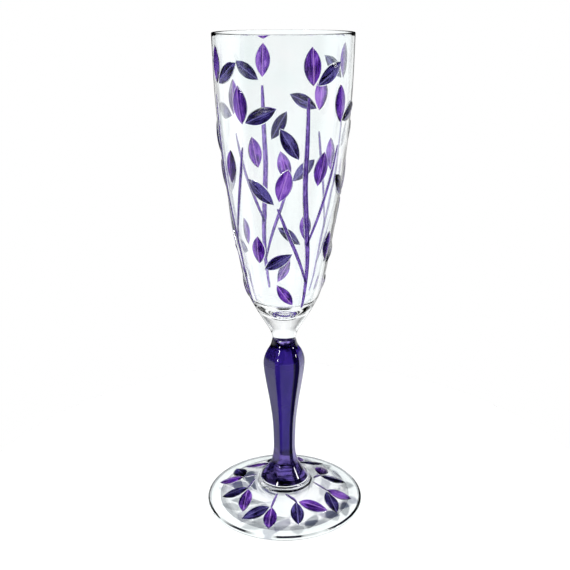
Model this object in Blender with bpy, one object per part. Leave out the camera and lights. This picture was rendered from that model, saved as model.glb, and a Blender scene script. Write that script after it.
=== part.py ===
"""Champagne flute of pressed crystal: a tapered bowl, a six-sided lacquered stem and a domed foot.

Enamelled leaves and stalks climb the bowl in four equal panels, and eight sprigs lie on the foot.
Metres, +Z up. The origin is the centre of the ring that the foot stands on, and the front faces -Y.
"""

import math

import bmesh
import bpy
from mathutils import Vector

MM = 0.001
GAP = 0.3 * MM  # clearance between neighbouring pieces

# Driving dimensions
HEIGHT = 220.0 * MM
RIM_RADIUS = 29.8 * MM
NECK_RADIUS = 5.3 * MM
NECK_HEIGHT = 84.5 * MM
FOOT_RADIUS = 37.6 * MM
COLLAR_RADIUS = 12.4 * MM
COLLAR_HEIGHT = 12.4 * MM

# Bowl: outer radius at each height, from the neck to the rim
BOWL_OUTLINE = (
    (NECK_HEIGHT, NECK_RADIUS),
    (88 * MM, 6.2 * MM),
    (94 * MM, 9.6 * MM),
    (100 * MM, 13.1 * MM),
    (106 * MM, 16.0 * MM),
    (114 * MM, 18.2 * MM),
    (131 * MM, 21.3 * MM),
    (153 * MM, 24.7 * MM),
    (174 * MM, 27.3 * MM),
    (196 * MM, 29.0 * MM),
    (HEIGHT, RIM_RADIUS),
)
WALL_AT_RIM = 1.4 * MM
WALL_AT_BASE = 2.6 * MM
CAVITY_FLOOR = 97.0 * MM
BOWL_SEGMENTS = 48

# Stem: radius over its ridges at each height, from the foot to the neck
STEM_OUTLINE = (
    (COLLAR_HEIGHT, 11.3 * MM),
    (14.6 * MM, 9.8 * MM),
    (17.4 * MM, 8.1 * MM),
    (20.4 * MM, 6.5 * MM),
    (25.6 * MM, 5.35 * MM),
    (31.0 * MM, 5.15 * MM),
    (42.0 * MM, 5.6 * MM),
    (52.4 * MM, 6.9 * MM),
    (62.8 * MM, 8.6 * MM),
    (70.0 * MM, 9.6 * MM),
    (74.5 * MM, 9.5 * MM),
    (78.1 * MM, 8.2 * MM),
    (81.2 * MM, 6.3 * MM),
    (NECK_HEIGHT, NECK_RADIUS),
)
STEM_SIDES = 6
FIRST_RIDGE = -20.0  # degrees from the front
RIDGE_ROUNDING = 6.0  # degrees to each side of a ridge
STEM_RINGS = 18
LACQUER_THICKNESS = 0.4 * MM

# Foot: height of its upper side at each radius, from the edge to the collar
FOOT_OUTLINE = (
    (13.4 * MM, 10.3 * MM),
    (18.0 * MM, 8.3 * MM),
    (24.0 * MM, 6.0 * MM),
    (30.0 * MM, 4.0 * MM),
    (36.3 * MM, 2.4 * MM),
)
EDGE_HEIGHT = 1.2 * MM
RING_INSIDE = 31.0 * MM  # the foot stands on a flat ring from here
RING_OUTSIDE = 35.6 * MM
DOME_HEIGHT = 5.6 * MM  # hollow under the foot
FOOT_SEGMENTS = 64

# Enamel relief
LEAF_EDGE = 0.35 * MM
LEAF_CROWN = 0.75 * MM
LEAF_STEPS = 6
PANELS = 4
STALK_EDGE = 0.3 * MM
STALK_CROWN = 0.8 * MM

# One panel's leaves: name, azimuth in degrees, height, length and width in mm, lean in degrees
# to the right, and colour
PANEL_LEAVES = (
    ("tip_leaf", 23, 208, 15.0, 7.7, -3, "violet"),
    ("spreading_leaf", 39, 205, 15.0, 6.5, 54, "indigo"),
    ("outer_leaf", 53, 193, 15.5, 7.4, -5, "violet"),
    ("level_leaf", 71, 189, 15.0, 6.6, 66, "indigo"),
    ("leaning_leaf", 5, 178, 15.0, 6.4, -31, "indigo"),
    ("middle_leaf", 35, 167, 14.5, 7.2, 9, "violet"),
    ("upright_leaf", 0, 161, 14.5, 7.2, 16, "violet"),
    ("slanting_leaf", 68, 158, 15.5, 6.4, -46, "indigo"),
    ("lower_leaf", 60, 132, 12.5, 6.8, 2, "violet"),
    ("folded_leaf", 83, 127, 14.5, 5.6, 58, "indigo"),
    ("bottom_leaf", 1, 111, 12.5, 5.6, -34, "violet"),
)

# Leaves that sit a little off their panel's pattern: degrees of azimuth and mm of height
NUDGES = {
    "tip_leaf_3": (-4.0, -1.0),
    "spreading_leaf_3": (-3.5, -2.2),
    "outer_leaf_3": (0.0, -1.0),
    "level_leaf_3": (0.0, -2.0),
    "middle_leaf_3": (-4.5, -0.5),
    "upright_leaf_3": (0.0, -1.5),
    "slanting_leaf_3": (3.0, -1.0),
}

# One panel's stalk: azimuth in degrees and height in mm of the points that it passes
MAIN_STALK = ((20, 196), (20, 178), (20, 160), (24, 143), (29, 125), (30, 104))
BRANCHES = (
    ((53, 176), (48, 164), (38, 148), (26, 134)),
    ((-6, 151), (4, 140), (15, 130), (29, 117)),
)
MAIN_STALK_WIDTH = 2.2 * MM
BRANCH_WIDTH = 1.7 * MM
MAIN_STALK_STEPS = 12
BRANCH_STEPS = 8

# Foot sprigs: azimuth in degrees of the first, and each point as (degrees from there, radius in mm)
STRAIGHT_SPRIG = {
    "azimuth": 18,
    "stalk": ((-16, 14.2), (-4, 17.0), (0, 19.2)),
    "leaves": (((0, 17.6), (-6, 30.8), "indigo"), ((-1, 18.1), (28, 28.4), "violet")),
}
FORKED_SPRIG = {
    "azimuth": -17,
    "stalk": ((3, 14.2), (1, 18.0), (0, 21.8)),
    "leaves": (((0, 20.2), (4, 33.2), "violet"), ((1, 20.7), (-22, 31.8), "indigo")),
}
FOOT_LEAF_WIDTH = 6.9 * MM
FOOT_STALK_WIDTH = 1.2 * MM

COLOURS = {  # linear colour and roughness
    "clear": ((0.86, 0.92, 0.92), 0.03),
    "violet": ((0.144, 0.036, 0.434), 0.18),
    "indigo": ((0.027, 0.018, 0.133), 0.18),
    "stalk": ((0.115, 0.062, 0.305), 0.2),
    "lacquer": ((0.023, 0.014, 0.147), 0.1),
}


def smooth_value(outline, x):
    """The value at x of a smooth curve through the outline's points, each (x, value)."""
    last = len(outline) - 1
    i = 0
    while i < last - 1 and x > outline[i + 1][0]:
        i += 1
    (x0, y0), (x1, y1) = outline[i], outline[i + 1]

    def slope(k):
        before, after = outline[max(k - 1, 0)], outline[min(k + 1, last)]
        return (after[1] - before[1]) / (after[0] - before[0])

    span = x1 - x0
    t = min(max((x - x0) / span, 0.0), 1.0)
    rise = t * t * (3 - 2 * t)
    start = t * (1 - t) ** 2 * span
    end = t * t * (1 - t) * span
    return y0 + (y1 - y0) * rise + slope(i) * start - slope(i + 1) * end


def from_front(azimuth):
    """The unit vector in plan at an azimuth in degrees, where 0 faces -Y and 90 faces +X."""
    turn = math.radians(azimuth)
    return Vector((math.sin(turn), -math.cos(turn), 0.0))


def make_material(name):
    colour, roughness = COLOURS[name]
    material = bpy.data.materials.new(name)
    material.use_nodes = True
    shader = material.node_tree.nodes["Principled BSDF"]
    shader.inputs["Base Color"].default_value = (*colour, 1.0)
    shader.inputs["Roughness"].default_value = roughness
    shader.inputs["Metallic"].default_value = 0.0
    if name == "clear":
        shader.inputs["Transmission Weight"].default_value = 1.0
    return material


def make_object(name, mesh_maker, material):
    """Fills a bmesh with mesh_maker, turns its faces outwards and makes an object of it."""
    bm = bmesh.new()
    mesh_maker(bm)
    bmesh.ops.recalc_face_normals(bm, faces=bm.faces)
    mesh = bpy.data.meshes.new(name)
    bm.to_mesh(mesh)
    bm.free()
    mesh.materials.append(material)
    mesh.shade_smooth()
    mesh.set_sharp_from_angle(angle=math.radians(30))
    made = bpy.data.objects.new(name, mesh)
    bpy.context.collection.objects.link(made)
    return made


def bridge(bm, ring, other):
    """Joins two rings of the same number of vertices with faces."""
    count = len(ring)
    for i in range(count):
        j = (i + 1) % count
        bm.faces.new((ring[i], ring[j], other[j], other[i]))


def cap(bm, ring, centre):
    """Closes a ring with a fan of triangles round a centre point."""
    middle = bm.verts.new(centre)
    for i, vertex in enumerate(ring):
        bm.faces.new((vertex, ring[(i + 1) % len(ring)], middle))


def turned(bm, profile, segments):
    """A solid of revolution from (radius, height) points, whose ends are closed on the axis."""
    rings = []
    for radius, height in profile:
        ring = []
        for i in range(segments):
            ring.append(bm.verts.new(from_front(360.0 * i / segments) * radius + Vector((0, 0, height))))
        rings.append(ring)
    for ring, other in zip(rings, rings[1:]):
        bridge(bm, ring, other)
    cap(bm, rings[0], (0, 0, profile[0][1]))
    cap(bm, rings[-1], (0, 0, profile[-1][1]))


# Bowl


def bowl_radius(height):
    return smooth_value(BOWL_OUTLINE, height)


def cavity_radius(height):
    """The inside radius: the outside less the wall, closing in a round floor at the bottom."""
    up = (height - CAVITY_FLOOR) / (HEIGHT - CAVITY_FLOOR)
    wall = WALL_AT_BASE + (WALL_AT_RIM - WALL_AT_BASE) * min(1.0, 2.0 * up)
    bowl = bowl_radius(height) - wall
    rounding = 9.0 * MM
    depth = min(max((height - CAVITY_FLOOR) / rounding, 0.0), 1.0)
    return bowl * math.sqrt(1 - (1 - depth) ** 2)


def bowl_profile():
    lip = WALL_AT_RIM / 2
    bottom = NECK_HEIGHT + GAP / 2
    outside = [(bowl_radius(bottom), bottom)]
    for step in range(1, 9):
        height = bottom + step * (112 * MM - bottom) / 8
        outside.append((bowl_radius(height), height))
    for step in range(1, 10):
        height = (112 + step * (218.6 - 112) / 9) * MM
        outside.append((bowl_radius(height), height))
    crest = [(RIM_RADIUS - 0.3 * lip, HEIGHT - 0.35 * lip), (RIM_RADIUS - lip, HEIGHT)]
    inside = [(RIM_RADIUS - 1.7 * lip, HEIGHT - 0.35 * lip)]
    for step in range(9):
        height = (218.0 - step * (218.0 - 108.0) / 8) * MM
        inside.append((cavity_radius(height), height))
    for part in (0.55, 0.28, 0.12, 0.03):
        height = CAVITY_FLOOR + part * 11 * MM
        inside.append((cavity_radius(height), height))
    return outside + crest + inside


def make_bowl(clear):
    profile = bowl_profile()
    return make_object("bowl", lambda bm: turned(bm, profile, BOWL_SEGMENTS), clear)


# Stem


def facet_share(height):
    """How far the section is a hexagon at a height: 1 in the middle, near 0 where it meets glass."""
    below = min((height - COLLAR_HEIGHT) / (12 * MM), 1.0)
    above = min((NECK_HEIGHT - height) / (8 * MM), 1.0)
    return 0.15 + 0.85 * max(min(below, above), 0.0)


def stem_ring(bm, height, grow):
    """One six-sided section with rounded ridges, its sides moved outwards by grow."""
    radius = smooth_value(STEM_OUTLINE, height)
    half = 180.0 / STEM_SIDES
    blunt = math.cos(math.radians(half)) / math.cos(math.radians(half - RIDGE_ROUNDING / 2))
    ring = []
    for side in range(STEM_SIDES):
        for offset in (-RIDGE_ROUNDING, 0.0, RIDGE_ROUNDING, half):
            flat = math.cos(math.radians(half)) / math.cos(math.radians(half - abs(offset)))
            share = 1 + facet_share(height) * (min(flat, blunt) / blunt - 1)
            azimuth = FIRST_RIDGE + side * 360.0 / STEM_SIDES + offset
            ring.append(bm.verts.new(from_front(azimuth) * (radius * share + grow) + Vector((0, 0, height))))
    return ring


def stem_heights():
    bottom, top = COLLAR_HEIGHT + GAP, NECK_HEIGHT - GAP / 2
    return [bottom + (top - bottom) * i / STEM_RINGS for i in range(STEM_RINGS + 1)]


def fill_stem(bm):
    heights = stem_heights()
    rings = [stem_ring(bm, height, -LACQUER_THICKNESS - GAP) for height in heights]
    for ring, other in zip(rings, rings[1:]):
        bridge(bm, ring, other)
    cap(bm, rings[0], (0, 0, heights[0]))
    cap(bm, rings[-1], (0, 0, heights[-1]))


def fill_lacquer(bm):
    heights = stem_heights()
    outer = [stem_ring(bm, height, 0.0) for height in heights]
    inner = [stem_ring(bm, height, -LACQUER_THICKNESS) for height in reversed(heights)]
    loop = outer + inner
    for i, ring in enumerate(loop):
        bridge(bm, ring, loop[(i + 1) % len(loop)])


# Foot


def foot_height(radius):
    return smooth_value(FOOT_OUTLINE, radius)


def foot_profile():
    under = []
    for step in range(1, 8):
        radius = RING_INSIDE * step / 7
        under.append((radius, DOME_HEIGHT * (1 - (radius / RING_INSIDE) ** 2)))
    edge = [
        (RING_OUTSIDE, 0.0),
        (FOOT_RADIUS - 0.5 * MM, 0.45 * MM),
        (FOOT_RADIUS, EDGE_HEIGHT),
        (FOOT_RADIUS - 0.4 * MM, 2.0 * MM),
    ]
    top = []
    for step in range(9):
        radius = FOOT_OUTLINE[-1][0] + (FOOT_OUTLINE[0][0] - FOOT_OUTLINE[-1][0]) * step / 8
        top.append((radius, foot_height(radius)))
    collar = [
        (COLLAR_RADIUS, 10.9 * MM),
        (COLLAR_RADIUS, COLLAR_HEIGHT - 0.6 * MM),
        (COLLAR_RADIUS - 0.6 * MM, COLLAR_HEIGHT),
    ]
    return under + edge + top + collar


def make_foot(clear):
    profile = foot_profile()
    return make_object("foot", lambda bm: turned(bm, profile, FOOT_SEGMENTS), clear)


# Enamel


def on_bowl(azimuth, height, lift):
    """The point that stands lift off the bowl's outside."""
    step = 0.5 * MM
    slope = (bowl_radius(height + step) - bowl_radius(height - step)) / (2 * step)
    tilt = math.sqrt(1 + slope * slope)
    radius = bowl_radius(height) + lift / tilt
    return from_front(azimuth) * radius + Vector((0, 0, height - lift * slope / tilt))


def bowl_leaf_place(azimuth, height, lean):
    """Maps (along, across, lift) of a leaf to a point off the bowl."""
    lean = math.radians(lean)

    def place(along, across, lift):
        up = along * math.cos(lean) - across * math.sin(lean)
        sideways = along * math.sin(lean) + across * math.cos(lean)
        z = height + up
        return on_bowl(azimuth + math.degrees(sideways / bowl_radius(z)), z, GAP + lift)

    return place


def on_foot(point, lift):
    """The point that stands lift off the foot's upper side, above a point in plan."""
    radius = math.hypot(point.x, point.y)
    return Vector((point.x, point.y, foot_height(radius) + GAP + lift))


def foot_leaf_place(base, tip):
    """Maps (along, across, lift) of a leaf from base to tip in plan to a point off the foot."""
    ahead = (tip - base).normalized()
    side = Vector((ahead.y, -ahead.x, 0.0))
    centre = (base + tip) / 2
    return lambda along, across, lift: on_foot(centre + ahead * along + side * across, lift)


def fill_leaf(bm, place, length, width):
    """A pointed leaf with a raised midrib, as one closed solid."""
    tips = []
    rows = []
    for step in range(LEAF_STEPS + 1):
        share = step / LEAF_STEPS
        along = length * (share - 0.5)
        if step in (0, LEAF_STEPS):
            tips.append([bm.verts.new(place(along, 0, lift)) for lift in (0.0, LEAF_EDGE)])
            continue
        half = width / 2 * (4 * share * (1 - share)) ** 0.9
        row = []
        for across, low, high in ((-half, 0, LEAF_EDGE), (0, 0, LEAF_CROWN), (half, 0, LEAF_EDGE)):
            row.append([bm.verts.new(place(along, across, low)), bm.verts.new(place(along, across, high))])
        rows.append(row)
    for row, other in zip(rows, rows[1:]):
        for i in (0, 1):
            for level in (0, 1):
                bm.faces.new((row[i][level], row[i + 1][level], other[i + 1][level], other[i][level]))
        for i in (0, 2):
            bm.faces.new((row[i][0], row[i][1], other[i][1], other[i][0]))
    for tip, row in ((tips[0], rows[0]), (tips[1], rows[-1])):
        for i in (0, 1):
            for level in (0, 1):
                bm.faces.new((tip[level], row[i][level], row[i + 1][level]))
        for i in (0, 2):
            bm.faces.new((tip[0], tip[1], row[i][1], row[i][0]))


def smooth_path(points, steps):
    """Points evenly along a smooth curve through points of two numbers each."""
    firsts = [(i, point[0]) for i, point in enumerate(points)]
    seconds = [(i, point[1]) for i, point in enumerate(points)]
    span = (len(points) - 1) / steps
    return [(smooth_value(firsts, i * span), smooth_value(seconds, i * span)) for i in range(steps + 1)]


def fill_stalk(bm, path, place, width, sunk):
    """A ridged strip along a path of points in plan, narrowing to its ends. place(point, offset,
    lift) gives the point at an offset across the path, and sunk lowers it into another strip."""
    rings = []
    last = len(path) - 1
    for i, point in enumerate(path):
        before, after = path[max(i - 1, 0)], path[min(i + 1, last)]
        half = width / 2 * (0.55 + 0.45 * math.sin(math.pi * i / last) ** 0.5)
        section = (
            (-half, sunk),
            (-half, STALK_EDGE - sunk),
            (0.0, STALK_CROWN - 2 * sunk),
            (half, STALK_EDGE - sunk),
            (half, sunk),
        )
        rings.append([bm.verts.new(place(point, before, after, offset, lift)) for offset, lift in section])
    for ring, other in zip(rings, rings[1:]):
        bridge(bm, ring, other)
    bm.faces.new(rings[0])
    bm.faces.new(rings[-1])


def bowl_strip_place(point, before, after, offset, lift):
    """A point beside a stalk on the bowl, whose path is in degrees and metres of height."""
    radius = bowl_radius(point[1])
    run = math.radians(after[0] - before[0]) * radius
    rise = after[1] - before[1]
    length = math.hypot(run, rise)
    azimuth = point[0] - math.degrees(offset * rise / length / radius)
    return on_bowl(azimuth, point[1] + offset * run / length, GAP + lift)


def foot_strip_place(point, before, after, offset, lift):
    """A point beside a stalk on the foot, whose path is in degrees and metres of radius."""
    here, start, end = [from_front(p[0]) * p[1] for p in (point, before, after)]
    ahead = (end - start).normalized()
    return on_foot(here + Vector((-ahead.y, ahead.x, 0.0)) * offset, lift)


def join(main, others):
    """Joins the others' solids to main, and keeps them only as hidden guides."""
    for other in others:
        union = main.modifiers.new(f"join_{other.name}", "BOOLEAN")
        union.operation = "UNION"
        union.solver = "EXACT"
        union.object = other
        other.hide_render = True
        other.display_type = "WIRE"


def make_bowl_leaves(materials):
    for panel in range(PANELS):
        turn = panel * 360.0 / PANELS
        for name, azimuth, height, length, width, lean, colour in PANEL_LEAVES:
            node = f"{name}_{panel + 1}"
            aside, up = NUDGES.get(node, (0.0, 0.0))
            place = bowl_leaf_place(azimuth + turn + aside, (height + up) * MM, lean)
            make_object(
                node,
                lambda bm: fill_leaf(bm, place, length * MM, width * MM),
                materials[colour],
            )


def make_bowl_stalks(materials):
    """Each panel's stalk with its two branches, as one solid."""
    for panel in range(PANELS):
        turn = panel * 360.0 / PANELS
        strips = []
        for number, points in enumerate((MAIN_STALK, *BRANCHES)):
            route = [(azimuth + turn, height * MM) for azimuth, height in points]
            path = smooth_path(route, BRANCH_STEPS if number else MAIN_STALK_STEPS)
            width = BRANCH_WIDTH if number else MAIN_STALK_WIDTH
            sunk = 0.05 * MM * number
            strips.append(
                make_object(
                    f"stalk_{panel + 1}" + (f"_branch_{number}" if number else ""),
                    lambda bm: fill_stalk(bm, path, bowl_strip_place, width, sunk),
                    materials["stalk"],
                )
            )
        join(strips[0], strips[1:])


def make_foot_sprigs(materials):
    """Eight sprigs of a stalk and two leaves, each sprig one solid."""
    number = 0
    for panel in range(PANELS):
        for sprig in (FORKED_SPRIG, STRAIGHT_SPRIG):
            number += 1
            first = sprig["azimuth"] + panel * 360.0 / PANELS
            path = smooth_path([(first + turn, radius * MM) for turn, radius in sprig["stalk"]], 5)
            stalk = make_object(
                f"foot_sprig_{number}",
                lambda bm: fill_stalk(bm, path, foot_strip_place, FOOT_STALK_WIDTH, 0.05 * MM),
                materials["stalk"],
            )
            leaves = []
            for side, (base, tip, colour) in enumerate(sprig["leaves"]):
                start = from_front(first + base[0]) * base[1] * MM
                end = from_front(first + tip[0]) * tip[1] * MM
                place = foot_leaf_place(start, end)
                leaves.append(
                    make_object(
                        f"{stalk.name}_leaf_{side + 1}",
                        lambda bm: fill_leaf(bm, place, (end - start).length, FOOT_LEAF_WIDTH),
                        materials[colour],
                    )
                )
            join(stalk, leaves)


def main():
    for old in list(bpy.data.objects):
        bpy.data.objects.remove(old, do_unlink=True)
    materials = {name: make_material(name) for name in COLOURS}
    make_bowl(materials["clear"])
    make_object("stem", fill_stem, materials["clear"])
    make_object("stem_lacquer", fill_lacquer, materials["lacquer"])
    make_foot(materials["clear"])
    make_bowl_leaves(materials)
    make_bowl_stalks(materials)
    make_foot_sprigs(materials)


main()
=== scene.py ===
"""Looks of the champagne flute: clear pressed crystal with leaves of transparent enamel.

The glass is one surface from rim to foot, made as three pieces (bowl, stem and foot) whose end
rings meet. Each leaf and stalk is a low relief of glass with enamel on its top.
Metres, +Z up, the frame's own axes: 0 degrees of azimuth faces -Y and 90 faces +X.
"""

import math

import bmesh
import bpy
from mathutils import Euler, Matrix, Vector


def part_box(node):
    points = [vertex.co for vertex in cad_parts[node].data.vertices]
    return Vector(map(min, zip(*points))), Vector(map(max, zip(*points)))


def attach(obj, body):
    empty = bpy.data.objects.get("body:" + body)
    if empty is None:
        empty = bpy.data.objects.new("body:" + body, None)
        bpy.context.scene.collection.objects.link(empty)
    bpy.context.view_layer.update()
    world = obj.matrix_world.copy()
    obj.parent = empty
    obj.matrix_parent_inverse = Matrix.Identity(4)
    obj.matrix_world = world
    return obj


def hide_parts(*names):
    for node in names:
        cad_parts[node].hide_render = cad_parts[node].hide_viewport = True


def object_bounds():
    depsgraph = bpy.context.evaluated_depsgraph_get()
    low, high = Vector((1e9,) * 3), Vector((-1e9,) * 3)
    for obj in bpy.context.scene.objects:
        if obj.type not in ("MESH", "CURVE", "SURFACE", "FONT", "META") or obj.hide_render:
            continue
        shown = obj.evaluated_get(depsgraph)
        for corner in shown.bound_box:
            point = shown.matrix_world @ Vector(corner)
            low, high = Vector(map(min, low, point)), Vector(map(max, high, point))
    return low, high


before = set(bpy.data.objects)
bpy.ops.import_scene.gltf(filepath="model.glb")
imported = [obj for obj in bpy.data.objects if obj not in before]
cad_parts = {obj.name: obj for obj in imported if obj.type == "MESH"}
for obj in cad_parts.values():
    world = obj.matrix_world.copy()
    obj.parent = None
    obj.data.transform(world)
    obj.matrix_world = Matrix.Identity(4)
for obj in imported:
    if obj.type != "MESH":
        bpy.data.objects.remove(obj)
cad_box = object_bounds()

MM = 0.001
BODY = "root"

# Heights and radii that the frame gives
NODE_GAP = 0.3 * MM  # between the bowl and the stem in the frame
BOWL_LOW, BOWL_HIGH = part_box("bowl")
FOOT_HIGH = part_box("foot")[1]
HEIGHT = BOWL_HIGH.z
RIM_RADIUS = BOWL_HIGH.x
NECK_HEIGHT = BOWL_LOW.z - NODE_GAP / 2
FOOT_RADIUS = FOOT_HIGH.x
COLLAR_HEIGHT = FOOT_HIGH.z

# The outlines of the design, as (height, radius) and, for the foot, (radius, height)
BOWL_OUTLINE = (
    (NECK_HEIGHT, 5.3 * MM),
    (88 * MM, 6.2 * MM),
    (94 * MM, 9.6 * MM),
    (100 * MM, 13.1 * MM),
    (106 * MM, 16.0 * MM),
    (114 * MM, 18.2 * MM),
    (131 * MM, 21.3 * MM),
    (153 * MM, 24.7 * MM),
    (174 * MM, 27.3 * MM),
    (196 * MM, 29.0 * MM),
    (HEIGHT, RIM_RADIUS),
)
STEM_OUTLINE = (
    (COLLAR_HEIGHT, 11.3 * MM),
    (14.6 * MM, 9.8 * MM),
    (17.4 * MM, 8.1 * MM),
    (20.4 * MM, 6.5 * MM),
    (25.6 * MM, 5.35 * MM),
    (31.0 * MM, 5.15 * MM),
    (42.0 * MM, 5.6 * MM),
    (52.4 * MM, 6.9 * MM),
    (62.8 * MM, 8.6 * MM),
    (70.0 * MM, 9.6 * MM),
    (74.5 * MM, 9.5 * MM),
    (78.1 * MM, 8.2 * MM),
    (81.2 * MM, 6.3 * MM),
    (NECK_HEIGHT, 5.3 * MM),
)
FOOT_OUTLINE = (
    (13.4 * MM, 10.3 * MM),
    (18.0 * MM, 8.3 * MM),
    (24.0 * MM, 6.0 * MM),
    (30.0 * MM, 4.0 * MM),
    (36.3 * MM, 2.4 * MM),
)

# Bowl
WALL_AT_RIM = 1.0 * MM
WALL_AT_BASE = 2.6 * MM
CAVITY_FLOOR = 97.0 * MM
CAVITY_ROUND = 9.0 * MM  # depth of the cavity's round floor
INSIDE_SWELL = 0.05 * MM  # how far the inside is from round

# Foot
FOOT_EDGE_RADIUS = 36.0 * MM  # of the middle of the rounded edge
FOOT_EDGE_HALF = 1.2 * MM  # half its thickness
COLLAR_RADIUS = 12.4 * MM
COLLAR_FILLET = ((12.9 * MM, 10.5 * MM), (12.5 * MM, 10.8 * MM))
COLLAR_ROUNDING = 0.8 * MM
RING_INSIDE = 31.0 * MM  # of the ground ring it stands on
RING_OUTSIDE = 35.6 * MM
DOME_HEIGHT = 5.6 * MM  # of the hollow underneath
GROUND_BELOW = 0.01 * MM  # faces that lie lower than this are ground

# Stem: angles in degrees, and the heights over which its section turns from round to six-sided
STEM_SIDES = 6
FIRST_RIDGE = -20.0
RIDGE_ROUNDING = 11.0
ROUND_ABOVE_COLLAR = 12 * MM
ROUND_BELOW_NECK = 8 * MM

# Fineness of the meshes
GLASS_SEGMENTS = 160
STEM_POINTS_PER_SIDE = 20
STEM_STEPS = 150
OUTSIDE_STEPS = 96
LIP_STEPS = 8
INSIDE_STEPS = 80
CAVITY_FLOOR_STEPS = 20
DOME_STEPS = 24
FOOT_EDGE_STEPS = 13
FOOT_TOP_STEPS = 40
COLLAR_STEPS = 6
LEAF_STEPS = 22
LEAF_HALF_COLUMNS = 6
MAIN_STALK_STEPS = 60
BRANCH_STEPS = 24
FOOT_STALK_STEPS = 14
SHARP_ANGLE = math.radians(24)

# One panel's leaves: name, azimuth in degrees, height, length and width in mm, lean in degrees
# to the right, and colour
PANELS = 4
PANEL_LEAVES = (
    ("tip_leaf", 23, 208, 15.0, 7.7, -3, "violet"),
    ("spreading_leaf", 39, 205, 15.0, 6.5, 54, "indigo"),
    ("outer_leaf", 53, 193, 15.5, 7.4, -5, "violet"),
    ("level_leaf", 71, 189, 15.0, 6.6, 66, "indigo"),
    ("leaning_leaf", 5, 178, 15.0, 6.4, -31, "indigo"),
    ("middle_leaf", 35, 167, 14.5, 7.2, 9, "violet"),
    ("upright_leaf", 0, 161, 14.5, 7.2, 16, "violet"),
    ("slanting_leaf", 68, 158, 15.5, 6.4, -46, "indigo"),
    ("lower_leaf", 60, 132, 12.5, 6.8, 2, "violet"),
    ("folded_leaf", 83, 127, 14.5, 5.6, 58, "indigo"),
    ("bottom_leaf", 1, 111, 12.5, 5.6, -34, "violet"),
)
# Leaves that sit a little off their panel's pattern: degrees of azimuth and mm of height
NUDGES = {
    "tip_leaf_3": (-4.0, -1.0),
    "spreading_leaf_3": (-3.5, -2.2),
    "outer_leaf_3": (0.0, -1.0),
    "level_leaf_3": (0.0, -2.0),
    "middle_leaf_3": (-4.5, -0.5),
    "upright_leaf_3": (0.0, -1.5),
    "slanting_leaf_3": (3.0, -1.0),
}
# Stalks of a panel, as points of (azimuth in degrees, height in mm)
MAIN_STALK = ((20, 196), (20, 178), (20, 160), (24, 143), (29, 125), (30, 104))
BRANCHES = (
    ((53, 176), (48, 164), (38, 148), (26, 134)),
    ((-6, 151), (4, 140), (15, 130), (29, 117)),
)
MAIN_STALK_WIDTH = 2.6 * MM
BRANCH_WIDTH = 1.7 * MM

# Foot sprigs: azimuth in degrees of the first, and each point as (degrees from there, radius in
# mm). A leaf is its base, its tip and its colour
STRAIGHT_SPRIG = {
    "azimuth": 18,
    "stalk": ((-16, 14.2), (-4, 17.0), (0, 19.2)),
    "leaves": (((-1, 18.6), (-6, 30.8), "indigo"), ((2, 18.8), (28, 28.4), "violet")),
}
FORKED_SPRIG = {
    "azimuth": -17,
    "stalk": ((3, 14.2), (1, 18.0), (0, 21.8)),
    "leaves": (((1, 21.4), (4, 33.2), "violet"), ((-2, 21.4), (-22, 31.8), "indigo")),
}
FOOT_LEAF_WIDTH = 6.9 * MM
FOOT_STALK_WIDTH = 1.2 * MM

# Relief
RELIEF_GAP = 0.03 * MM  # between the glass and what is on it
LEAF_BORDER = 0.32 * MM  # clear bevel outside the enamel
LEAF_EDGE = 0.14 * MM  # height of the enamel's edge
LEAF_CROWN = 0.75 * MM  # height of the midrib
LEAF_POINTEDNESS = 0.9
LEAF_ROUNDNESS = 0.7
STALK_CROWN = 0.5 * MM
STALK_EDGE = 0.5  # share of the crown
STALK_TIP = 0.4  # share of the width
STALK_COLUMNS = (-0.82, -0.41, 0.0, 0.41, 0.82)
STALK_UV = (0.9, 0.5)  # per half width across and per step along

# Glass and its colours, linear. Two colours are for the low and the high end of a noise
CRYSTAL_IOR = 1.54
PAINT_IOR = 1.52
CRYSTAL_TINTS = ((0.945, 0.985, 0.985), (0.985, 0.995, 0.998))
# Painted shade: glass is coloured dark towards its outline, for the dark that it bends in at
# grazing angles. The range of Layer Weight's facing, 1 at the outline
CRYSTAL_OUTLINE = (0.84, 0.97)
LACQUER_OUTLINE = (0.8, 1.0)
OUTLINE_SHADE_COLOUR = (0.02, 0.025, 0.03)
OUTLINE_SHADE_DEPTH = 0.8
# Painted shade where the foot turns sharply and looks dark: two radii, and the height above
# which that is
FOOT_SHADE_BANDS = ((36.45 * MM, 37.5 * MM, 0.0), (12.5 * MM, 13.5 * MM, 8 * MM))
BAND_SHADE_COLOUR = (0.0004, 0.0004, 0.001)
# Painted shade along the foot's lowest edge
LOW_EDGE = (0.6 * MM, 1.2 * MM)  # heights over which the shade at the foot's lowest edge ends
LOW_EDGE_SHADE_COLOUR = (0.22, 0.24, 0.26)
LOW_EDGE_DEPTH = 0.9
GROUND_TINTS = ((0.80, 0.84, 0.84), (0.88, 0.91, 0.91))
FLOOR_TINTS = ((0.86, 0.87, 0.88), (0.88, 0.885, 0.89))

# What passes through thin, middling and thick enamel, and what lamps send through
ENAMELS = {
    "violet": ((0.40, 0.17, 0.74), (0.16, 0.04, 0.46), (0.03, 0.004, 0.14), (0.12, 0.12, 0.22)),
    "indigo": (
        (0.13, 0.10, 0.36),
        (0.030, 0.018, 0.13),
        (0.005, 0.003, 0.025),
        (0.05, 0.07, 0.10),
    ),
    "stalk": ((0.34, 0.20, 0.66), (0.17, 0.08, 0.44), (0.07, 0.03, 0.22), (0.12, 0.12, 0.22)),
}
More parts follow.
